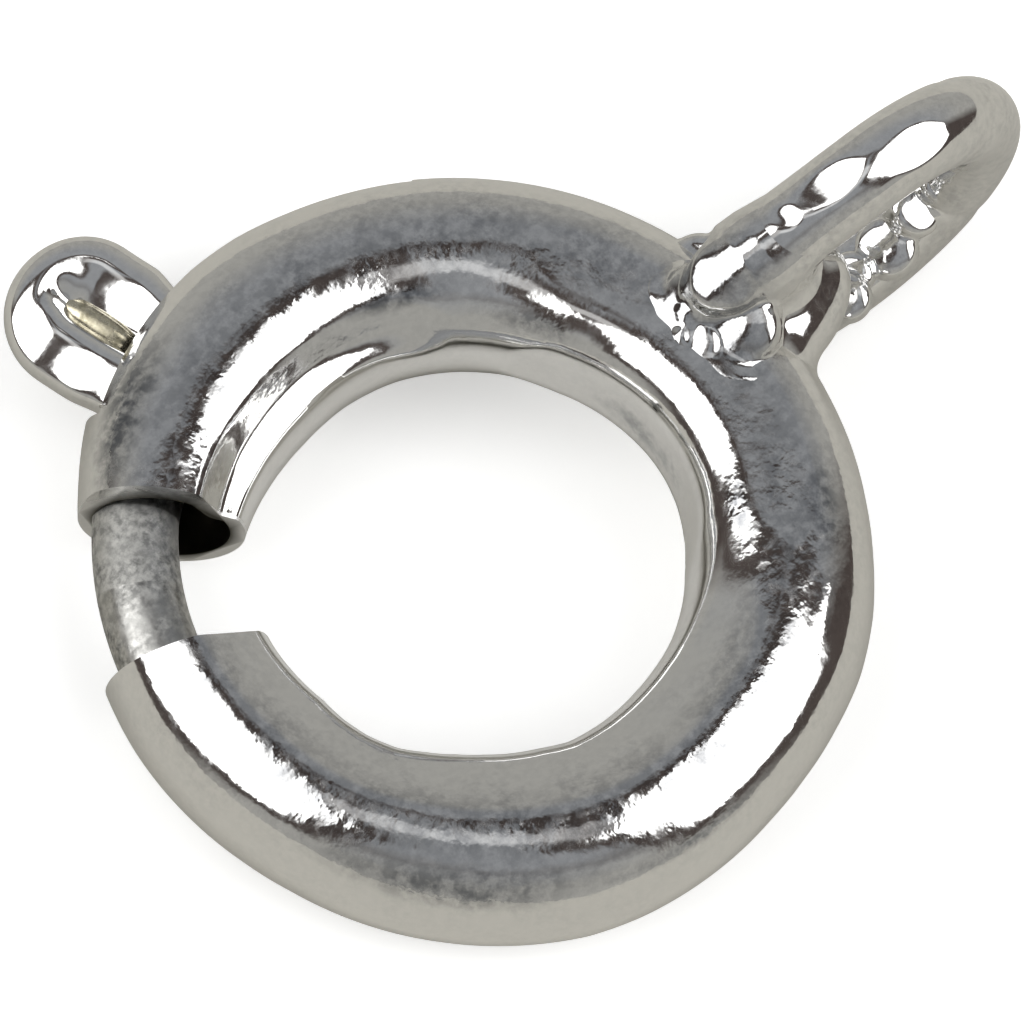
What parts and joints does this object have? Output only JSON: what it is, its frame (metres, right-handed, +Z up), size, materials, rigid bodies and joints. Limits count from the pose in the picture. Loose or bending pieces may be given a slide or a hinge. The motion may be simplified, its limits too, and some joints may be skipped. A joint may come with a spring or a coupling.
{
  "type": "spring ring clasp",
  "caption": "Spring ring clasp: a hollow ring whose mouth is closed by a sprung bolt with a thumb knob, and an eye of wire soldered to the ring for a chain.",
  "frame": {"origin": "centre of the ring, on the ring's own axis, with the clasp lying as it rests on a table", "axes": "+X from the ring's centre over the eye, level; +Z up; the ring's plane rises 6.5 degrees towards the eye"},
  "size_m": [0.0099, 0.0081, 0.0033],
  "materials": {
    "silver_plate": "bright silver plate, slightly mottled",
    "silver_bolt": "worn silver plate, grey and mottled",
    "silver_knob": "bright silver plate, brass showing in the crease",
    "spring_wire": "drawn spring wire"
  },
  "bodies": {
    "case": {"ring_case": "silver_plate", "spring": "spring_wire"},
    "trigger": {"bolt": "silver_bolt", "thumb_knob": "silver_knob"}
  },
  "joints": [
    {"name": "bolt_slide", "type": "hinge", "parent": "case", "child": "trigger", "pos_m": [0, 0, 0], "axis": [0.1129, 0, -0.9936], "range_deg": [0, 34.9], "stiffness_Nm_per_rad": 0.000002, "springref_deg": -28.65, "deforming": ["spring"]}
  ]
}
